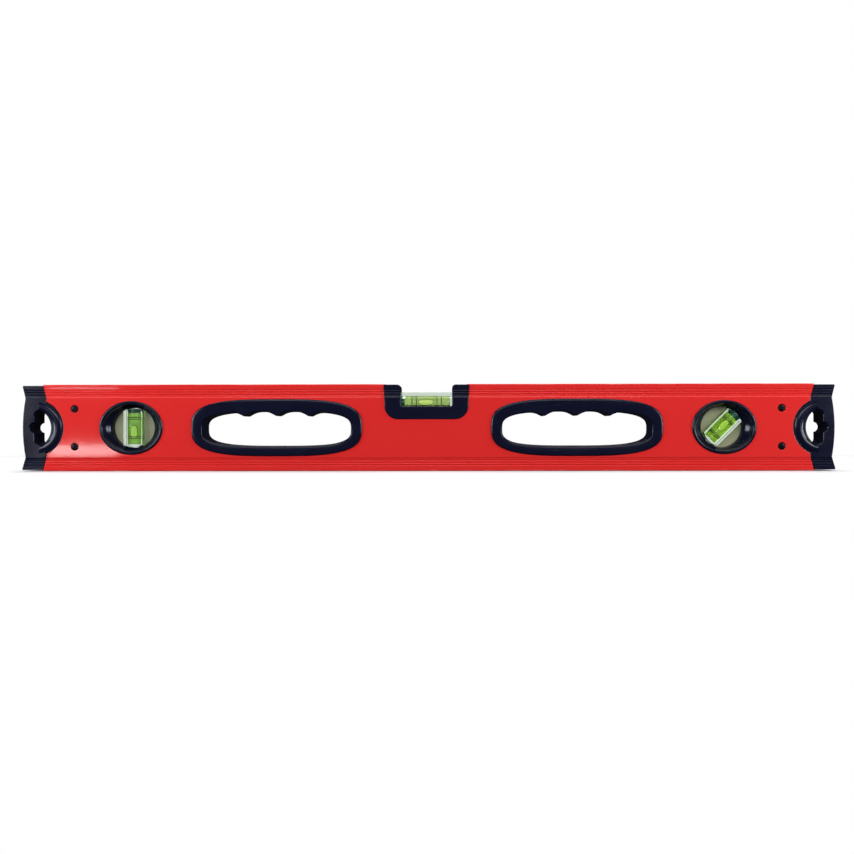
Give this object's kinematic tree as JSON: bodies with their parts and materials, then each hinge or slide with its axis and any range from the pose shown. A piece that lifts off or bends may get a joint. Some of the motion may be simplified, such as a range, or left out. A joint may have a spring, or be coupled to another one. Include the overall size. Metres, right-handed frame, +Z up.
{
  "type": "spirit level",
  "caption": "Box-section spirit level with hand grips, moulded end caps with hanging holes, and level, plumb and 45-degree bubble vials.",
  "frame": {"origin": "middle of the bottom measuring face, half-way along the level and half-way through its thickness", "axes": "+X along the level towards the 45-degree vial, +Y from the front web to the rear web, +Z up to the face with the centre vial"},
  "size_m": [0.6, 0.0272, 0.064],
  "materials": {
    "red_paint": "glossy red paint on an aluminium extrusion",
    "black_plastic": "glossy blue-black moulding",
    "black_steel": "blackened steel",
    "clear_acrylic": "polished clear acrylic",
    "green_liquid": "clear yellow-green liquid",
    "bubble_gas": "gas bubble with a bright rim",
    "teal_plug": "dark green stopper",
    "olive_plastic": "satin olive moulding",
    "white_plastic": "matte white strip"
  },
  "bodies": {
    "level": {"beam": "red_paint", "left_end_cap": "black_plastic", "left_cap_screw_upper_front": "black_steel", "left_cap_screw_upper_rear": "black_steel", "left_cap_screw_lower_front": "black_steel", "left_cap_screw_lower_rear": "black_steel", "left_grip_front": "black_plastic", "left_grip_rear": "black_plastic", "right_end_cap": "black_plastic", "right_cap_screw_upper_front": "black_steel", "right_cap_screw_upper_rear": "black_steel", "right_cap_screw_lower_front": "black_steel", "right_cap_screw_lower_rear": "black_steel", "right_grip_front": "black_plastic", "right_grip_rear": "black_plastic", "plumb_vial_bezel_front": "black_plastic", "plumb_vial_bezel_rear": "black_plastic", "plumb_vial_carrier": "olive_plastic", "plumb_vial_block": "clear_acrylic", "plumb_vial_liquid": "green_liquid", "plumb_vial_plug": "teal_plug", "angle_vial_bezel_front": "black_plastic", "angle_vial_bezel_rear": "black_plastic", "angle_vial_carrier": "olive_plastic", "angle_vial_block": "clear_acrylic", "angle_vial_liquid": "green_liquid", "angle_vial_plug": "teal_plug", "centre_housing": "black_plastic", "centre_vial_block": "clear_acrylic", "centre_vial_liquid": "green_liquid", "centre_vial_plug": "teal_plug", "centre_reflector": "white_plastic", "centre_retainer": "black_plastic"},
    "centre_bubble": {"centre_vial_bubble": "bubble_gas"},
    "plumb_bubble": {"plumb_vial_bubble": "bubble_gas"},
    "angle_bubble": {"angle_vial_bubble": "bubble_gas"}
  },
  "joints": [
    {"name": "centre_bubble_slide", "type": "slide", "parent": "level", "child": "centre_bubble", "axis": [1, 0, 0], "range_m": [-0.0095, 0.0115], "stiffness_N_per_m": 5},
    {"name": "plumb_bubble_slide", "type": "slide", "parent": "level", "child": "plumb_bubble", "axis": [0, 0, 1], "range_m": [-0.0038, 0.0084], "stiffness_N_per_m": 5},
    {"name": "angle_bubble_slide", "type": "slide", "parent": "level", "child": "angle_bubble", "axis": [0.7071, 0, 0.7071], "range_m": [-0.0084, 0.004], "stiffness_N_per_m": 5}
  ]
}
